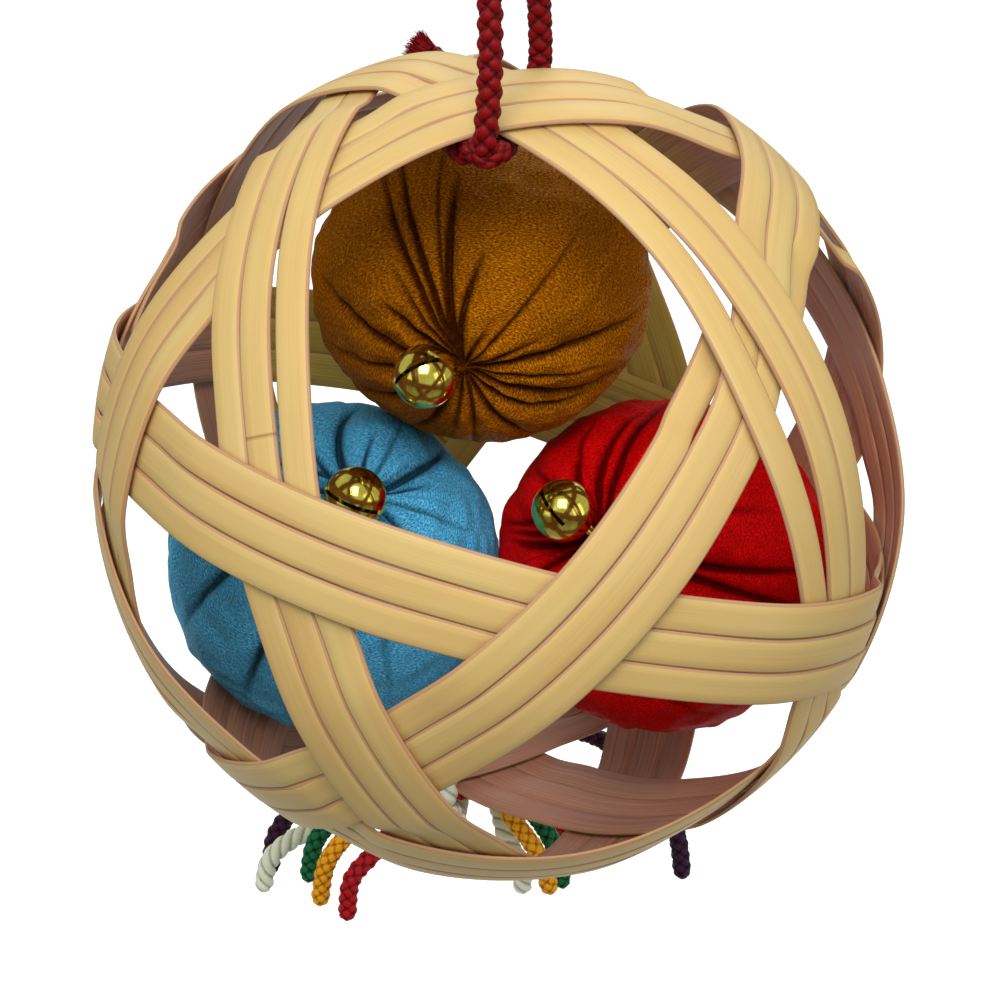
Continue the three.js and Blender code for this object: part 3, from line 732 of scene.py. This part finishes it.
def pressed(points, name, clearance=0.00002):
    """Points of a sachet held back from its neighbours' halves and from the splints."""
    at = np.array(sachets[name]["at"])
    for other, shape in sachets.items():
        if other == name:
            continue
        away = np.array(shape["at"]) - at
        reach = np.linalg.norm(away)
        away /= reach
        beyond = np.clip(points @ away - (reach / 2 - clearance), 0, None)
        points = points - beyond[:, None] * away
    place = (points + at) / ball_stretch
    far = np.linalg.norm(place, axis=1)
    place = place * np.minimum(1, cage_inside / far)[:, None]
    return place * ball_stretch - at


def sachet_form(name, fall, turn):
    """The stuffed bag's plain form at places given by fall from the pole and turn round it."""
    shape = sachets[name]
    drawn = 1 - draw_in * np.exp(-((fall / draw_reach) ** 2))
    local = np.stack([np.sin(fall) * np.cos(turn) * shape["width"] / 2,
                      np.sin(fall) * np.sin(turn) * shape["width"] / 2,
                      np.cos(fall) * shape["height"] / 2], axis=1) * drawn[:, None]
    return pressed(local @ pole_turn(shape["lean"], shape["turn"]).T * (1, 1, shape["sag"]), name)


def fold_depth(name, fall, turn, spread):
    """How deep the folds lie at each place, each spread times its own width."""
    depth = np.zeros(len(fall))
    radius = sachets[name]["width"] / 2
    for start, end, reach, deep, wide in folds[name]:
        share = fall / reach
        middle = np.radians(start + (end - start) * np.clip(share, 0, 1.2))
        off = (turn - middle + np.pi) % (2 * np.pi) - np.pi
        aside = np.abs(off) * np.sin(fall) * radius
        along = np.sin(np.pi * np.clip(share, 0, 1) ** 0.55) ** 0.6
        depth = np.maximum(depth, along * deep * 0.001 / (1 + (aside / (wide * 0.001 * spread)) ** 2.4))
    return depth


# The cloth starts a little inside its place. Creases deeper than held_crease, and the gathers,
# stay where they are while the stuffing pushes the rest out, by no more than most_push. The bag
# is simulated ten times its real size.
start_inside, held_crease, gathers_fall, most_push = 0.0004, 0.0008, 0.16, 0.0012
bag_scale, settling_steps = 10, 20


def puffed(name):
    """How far the stuffing pushes the cloth out between its folds: directions and their pushes."""
    mesh = bpy.data.meshes.new("filling")
    shell = bmesh.new()
    bmesh.ops.create_icosphere(shell, subdivisions=5, radius=1)
    shell.to_mesh(mesh)
    shell.free()
    unit = np.array([v.co for v in mesh.vertices])
    unit /= np.linalg.norm(unit, axis=1)[:, None]
    local = unit @ pole_turn(sachets[name]["lean"], sachets[name]["turn"])
    fall = np.arccos(np.clip(local[:, 2], -1, 1))
    turn = np.arctan2(local[:, 1], local[:, 0])
    depth = fold_depth(name, fall, turn, 3)
    form = sachet_form(name, fall, turn)
    start = form - unit * depth[:, None] - start_inside * unit
    mesh.vertices.foreach_set("co", (start * bag_scale).ravel())
    bag = bpy.data.objects.new("filling", mesh)
    bpy.context.scene.collection.objects.link(bag)
    held = bag.vertex_groups.new(name="held")
    for i in np.nonzero((depth > held_crease) | (fall < gathers_fall))[0]:
        held.add([int(i)], 1.0, "REPLACE")
    cloth = bag.modifiers.new("cloth", "CLOTH")
    cloth.settings.use_pressure = True
    cloth.settings.uniform_pressure_force = 8
    cloth.settings.vertex_group_mass = "held"
    cloth.settings.effector_weights.gravity = 0
    cloth.settings.mass = 0.02
    cloth.settings.tension_stiffness = 1
    cloth.settings.compression_stiffness = 1
    cloth.settings.shear_stiffness = 1
    cloth.settings.bending_stiffness = 0.02
    cloth.settings.quality = 6
    cloth.point_cache.frame_start, cloth.point_cache.frame_end = 1, settling_steps
    for step in range(1, settling_steps + 1):
        bpy.context.scene.frame_set(step)
    seen = bag.evaluated_get(bpy.context.evaluated_depsgraph_get())
    moved = np.array([v.co for v in seen.data.vertices]) / bag_scale
    bpy.context.scene.frame_set(1)
    push = moved - start
    far = np.linalg.norm(push, axis=1)
    push *= np.minimum(1, most_push / np.maximum(far, 1e-9))[:, None]
    faces = [tuple(p.vertices) for p in mesh.polygons]
    bpy.data.objects.remove(bag)
    return unit, np.array(faces), start - form + push


def columns_over_folds(name, fall, columns):
    """Turns round the pole for one row of points, crowded together where folds cross the row."""
    fine = np.linspace(-np.pi, np.pi, 2401)
    density = 1 + 900 * fold_depth(name, np.full(len(fine), fall), fine, 1.6)
    run = np.concatenate([[0], np.cumsum((density[1:] + density[:-1]) / 2)])
    return np.interp(np.linspace(0, run[-1], columns, endpoint=False), run, fine)


pucker_height, swell_height, deep_crease = 0.00004, 0.00004, 0.0011


def sachet_piece(name, seed, material, rows=230, columns=420):
    shape = sachets[name]
    at = np.array(shape["at"]) + np.array(ball_centre)
    olive_mix = pole_turn(shape["lean"], shape["turn"])
    # Rows lie closer together near the gathers, where the folds are finest.
    fall_of = np.pi * (np.linspace(0, 1, rows + 1)[1:-1]) ** 1.25
    fall = np.repeat(fall_of, columns)
    turn = np.concatenate([columns_over_folds(name, f, columns) for f in fall_of])
    fall = np.concatenate([fall, [0, np.pi]])
    turn = np.concatenate([turn, [0, 0]])
    rays = np.stack([np.sin(fall) * np.cos(turn), np.sin(fall) * np.sin(turn), np.cos(fall)], axis=1)
    rays = rays @ olive_mix.T
    unit, corners, push = puffed(name)
    filled = bvhtree.BVHTree.FromPolygons([Vector(p) for p in unit],
                                          [tuple(map(int, c)) for c in corners])
    met = corners[[filled.ray_cast(Vector((0, 0, 0)), Vector(ray))[2] for ray in rays]]
    weights = np.linalg.solve(unit[met].transpose(0, 2, 1), rays[:, :, None])[:, :, 0]
    weights = weights / weights.sum(axis=1)[:, None]
    pushed = (push[met] * weights[:, :, None]).sum(axis=1)
    crease = fold_depth(name, fall, turn, 0.8)
    draw = np.random.default_rng(seed)
    puckers = np.zeros(len(fall))
    for _ in range(26):
        number, start, slope = draw.integers(9, 44), draw.uniform(0, 2 * np.pi), draw.normal(0, 5)
        near = np.exp(-((fall - draw.uniform(0.15, 0.4)) / 0.2) ** 2)
        puckers += near * np.sin(number * turn + slope * fall + start)
    swells = np.zeros(len(fall))
    for _ in range(40):
        wave = rays @ draw.normal(0, 1, 3) * draw.uniform(6, 22)
        swells += np.sin(wave + draw.uniform(0, 2 * np.pi))
    out = pucker_height * puckers + swell_height * swells - crease
    points = sachet_form(name, fall, turn) + pushed + rays * out[:, None]
    points = pressed(points, name) + at
    faces = []
    k = np.arange(columns)
    after = (k + 1) % columns
    for row in range(rows - 2):
        a, b = row * columns, (row + 1) * columns
        faces += list(zip(a + k, b + k, b + after, a + after))
    top, bottom = (rows - 1) * columns, (rows - 1) * columns + 1
    last = (rows - 2) * columns
    faces += [(top, k[i], after[i]) for i in range(columns)]
    faces += [(bottom, last + after[i], last + k[i]) for i in range(columns)]
    half = shape["width"] / 2
    uvs = np.stack([turn * np.sin(fall) * half, fall * half], axis=1)
    piece = piece_from("crepe_sachet_" + name, points, faces, uvs)
    # The fold depth, which the crepe reads for painted shade in the folds.
    mark_points(piece, "fold", np.clip(crease / deep_crease, 0, 1))
    piece.data.materials.append(material)
    return piece


def crepe(name, deep, middle, bright):
    """Silk crepe: short wavy ridges that lie across the folds, with a painted glint on the ridges and
    painted shade down in the folds.
    """
    material, tree, shader = nodes_of(name)
    place = texture_place(tree, "UV")
    bent = tree.nodes.new("ShaderNodeTexNoise")
    bent.inputs["Scale"].default_value = 330
    bent.inputs["Detail"].default_value = 2
    link(tree, place, bent.inputs["Vector"])
    offset = tree.nodes.new("ShaderNodeVectorMath")
    offset.operation = "MULTIPLY_ADD"
    offset.inputs[1].default_value = (0.0006, 0.0010, 0)
    link(tree, bent.outputs["Color"], offset.inputs[0])
    link(tree, place, offset.inputs[2])
    crinkle = noise(tree, stretched(tree, offset.outputs["Vector"], (2000, 4600, 1)), 1.0, 2, 0.5)
    grain = noise(tree, stretched(tree, place, (4200, 4200, 1)), 1.0, 2, 0.5)
    tone = noise(tree, texture_place(tree, "Object"), 95, 3)
    both = tree.nodes.new("ShaderNodeMath")
    both.operation = "MULTIPLY_ADD"
    both.inputs[1].default_value = 0.4
    link(tree, grain, both.inputs[0])
    link(tree, crinkle, both.inputs[2])
    # The ramp's last colour is a painted glint on the ridges.
    colors = ramp(tree, both.outputs["Value"], (0.44, deep), (0.66, middle), (0.86, bright))
    tones = ramp(tree, tone, (0.25, (0.70, 0.70, 0.70)), (0.75, (1, 1, 1)))
    # Painted shade down in the folds.
    shadows = ramp(tree, mark_of(tree, "fold"), (0.05, (1, 1, 1)), (0.75, (0.22, 0.16, 0.16)))
    link(tree, toned(tree, toned(tree, colors, tones), shadows), shader.inputs["Base Color"])
    link(tree, bump(tree, both.outputs["Value"], 0.00032, 1.0), shader.inputs["Normal"])
    shader.inputs["Roughness"].default_value = 0.5
    shader.inputs["Specular IOR Level"].default_value = 0.03
    return material


# The last colour of each crepe is its painted glint.
crepes = {
    "gold": crepe("gold_crepe", (0.15, 0.029, 0.0002), (0.34, 0.080, 0.0002), (0.74, 0.30, 0.004)),
    "blue": crepe("blue_crepe", (0.013, 0.18, 0.41), (0.050, 0.42, 0.82), (0.25, 0.77, 0.99)),
    "red": crepe("red_crepe", (0.24, 0.0001, 0.0002), (0.62, 0.0002, 0.0003), (0.99, 0.004, 0.005)),
}
for number, name in enumerate(sachets):
    sachet = sachet_piece(name, 40 + number, crepes[name])
    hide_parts("sachet_" + name)
    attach(sachet, "root")


# ---- the jingle bells ----
# Small round brass bells, pressed from thin sheet, with a slot between two round holes below
# and a wire loop above, by which each is sewn to its sachet's gathers.
bell_radius, bell_wall = 0.0047, 0.00035
slot_length, slot_width, slot_depth = 1.9 * bell_radius, 0.0006, bell_radius
hole_radius, hole_drop = 0.00095, 0.0013
loop_radius, loop_wire = 0.0012, 0.0004
bells = {
    "gold": dict(lean=93, turn=-107, sink=0.0026, slot_turn=86),
    "blue": dict(lean=39, turn=-77, sink=0.0024, slot_turn=7),
    "red": dict(lean=50, turn=-134, sink=0.0010, slot_turn=-54),
}


def brass_metal():
    material, tree, shader = nodes_of("polished_brass")
    worn = noise(tree, texture_place(tree, "Object"), 900, 3)
    tones = ramp(tree, worn, (0.3, (0.56, 0.44, 0.05)), (0.7, (0.78, 0.67, 0.13)))
    link(tree, tones, shader.inputs["Base Color"])
    rough = tree.nodes.new("ShaderNodeMapRange")
    rough.inputs["To Min"].default_value = 0.08
    rough.inputs["To Max"].default_value = 0.2
    link(tree, worn, rough.inputs["Value"])
    link(tree, rough.outputs["Result"], shader.inputs["Roughness"])
    shader.inputs["Metallic"].default_value = 1
    return material


def cut_by(piece, tool):
    cut = piece.modifiers.new("cut", "BOOLEAN")
    cut.operation = "DIFFERENCE"
    cut.solver = "EXACT"
    cut.object = tool
    with bpy.context.temp_override(object=piece, active_object=piece, selected_objects=[piece]):
        bpy.ops.object.modifier_apply(modifier="cut")
    bpy.data.objects.remove(tool)


def shape_of(name, build):
    mesh = bpy.data.meshes.new(name)
    form = bmesh.new()
    build(form)
    form.to_mesh(mesh)
    form.free()
    made = bpy.data.objects.new(name, mesh)
    bpy.context.scene.collection.objects.link(made)
    return made


def bell_piece(name, material):
    def shell(form):
        bmesh.ops.create_uvsphere(form, u_segments=64, v_segments=40, radius=bell_radius)
        inner = bmesh.ops.create_uvsphere(form, u_segments=48, v_segments=30,
                                          radius=bell_radius - bell_wall)
        bmesh.ops.reverse_faces(form, faces=list({f for v in inner["verts"] for f in v.link_faces}))

    def slot(form):
        box = bmesh.ops.create_cube(form, size=1)
        for v in box["verts"]:
            v.co = Vector((v.co.x * slot_length, v.co.y * slot_width,
                           v.co.z * slot_depth - 0.8 * bell_radius))

    def hole(form):
        made = bmesh.ops.create_cone(form, cap_ends=True, segments=28, radius1=hole_radius,
                                     radius2=hole_radius, depth=3 * bell_radius)
        for v in made["verts"]:
            v.co = Vector((v.co.z, v.co.y, v.co.x - hole_drop))

    bell = shape_of(name, shell)
    cut_by(bell, shape_of("slot", slot))
    cut_by(bell, shape_of("hole", hole))
    form = bmesh.new()
    form.from_mesh(bell.data)
    steps, sides = 28, 10
    for i in range(steps):
        angle = 2 * math.pi * i / steps
        for j in range(sides):
            bend = 2 * math.pi * j / sides
            out = loop_radius + loop_wire * math.cos(bend)
            form.verts.new((out * math.cos(angle), loop_wire * math.sin(bend),
                            out * math.sin(angle) + bell_radius + 0.8 * loop_radius))
    form.verts.ensure_lookup_table()
    first = len(form.verts) - steps * sides
    for i in range(steps):
        for j in range(sides):
            here, after = first + i * sides, first + (i + 1) % steps * sides
            corners = (here + j, here + (j + 1) % sides, after + (j + 1) % sides, after + j)
            form.faces.new([form.verts[n] for n in corners])
    bmesh.ops.recalc_face_normals(form, faces=form.faces[-steps * sides:])
    form.to_mesh(bell.data)
    form.free()
    bell.data.polygons.foreach_set("use_smooth", [True] * len(bell.data.polygons))
    bell.data.set_sharp_from_angle(angle=math.radians(40))
    bell.data.materials.append(material)
    return bell


brass = brass_metal()
for name, hung in bells.items():
    bell = bell_piece("jingle_bell_" + name, brass)
    shape = sachets[name]
    to_bell = Vector(pointing(hung["lean"], hung["turn"]))
    reach = shape["width"] / 2 + bell_radius - hung["sink"]
    pole = Vector(pointing(shape["lean"], shape["turn"])) * 0.46 * shape["height"]
    toward = (pole - to_bell * reach).normalized()
    bell.matrix_world = (Matrix.Translation(ball_centre + Vector(shape["at"]) + to_bell * reach)
                         @ Vector((0, 0, 1)).rotation_difference(toward).to_matrix().to_4x4()
                         @ Matrix.Rotation(math.radians(hung["slot_turn"]), 4, "Z"))
    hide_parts("bell_" + name)
    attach(bell, "root")


# ---- floor and light ----
# A plain white floor well below the hanging ball; a painted glow lights it in a wide disc behind
# the ball, like a lit backdrop, and painted shade greys it beyond. A broad soft light is above and
# in front, weaker ones are at the sides and behind, and the sky is pale.
def pale_floor():
    material, tree, shader = nodes_of("floor_paint_and_painted_glow")
    shade = noise(tree, texture_place(tree, "Object"), 3, 2)
    span = span_from(tree, (0, 0.9, 0))
    paint = ramp(tree, shade, (0, (0.74, 0.75, 0.74)), (1, (0.76, 0.765, 0.76)))
    # Painted shade greys the floor beyond the glowing disc.
    shade_beyond_glow = ramp(tree, span, (0.6, (1, 1, 1)), (0.98, (0.35, 0.35, 0.34)))
    link(tree, toned(tree, paint, shade_beyond_glow), shader.inputs["Base Color"])
    # A painted glow: the floor gives out light in a disc behind the ball, though it is no lamp.
    glow = ramp(tree, span, (0.5, (0.95, 1.0, 0.96)), (0.95, (0, 0, 0)))
    link(tree, glow, shader.inputs["Emission Color"])
    shader.inputs["Emission Strength"].default_value = 0.6
    shader.inputs["Roughness"].default_value = 0.9
    return material


floor = piece_from("floor", [(-6, -6, 0), (6, -6, 0), (6, 6, 0), (-6, 6, 0)], [(0, 1, 2, 3)])
floor.location.z = -0.60
floor.data.materials.append(pale_floor())


def soft_light(name, place, size, power):
    light = bpy.data.lights.new(name, "AREA")
    light.shape = "SQUARE"
    light.size = size
    light.energy = power
    lamp = bpy.data.objects.new(name, light)
    bpy.context.scene.collection.objects.link(lamp)
    lamp.location = ball_centre + Vector(place)
    lamp.rotation_euler = (-Vector(place)).to_track_quat("-Z", "Y").to_euler()


soft_light("key", (-0.06, -0.52, 0.73), 0.45, 6.6)
soft_light("fill", (0.8, -0.5, 0.25), 0.7, 2.0)
soft_light("left_fill", (-0.8, -0.6, 0.35), 0.7, 0.9)
soft_light("back", (0.1, 0.8, 0.5), 0.6, 2.2)
sky = bpy.data.worlds.new("sky")
sky.use_nodes = True
sky.node_tree.nodes["Background"].inputs["Color"].default_value = (0.95, 1.0, 0.97, 1)
sky.node_tree.nodes["Background"].inputs["Strength"].default_value = 0.62
bpy.context.scene.world = sky
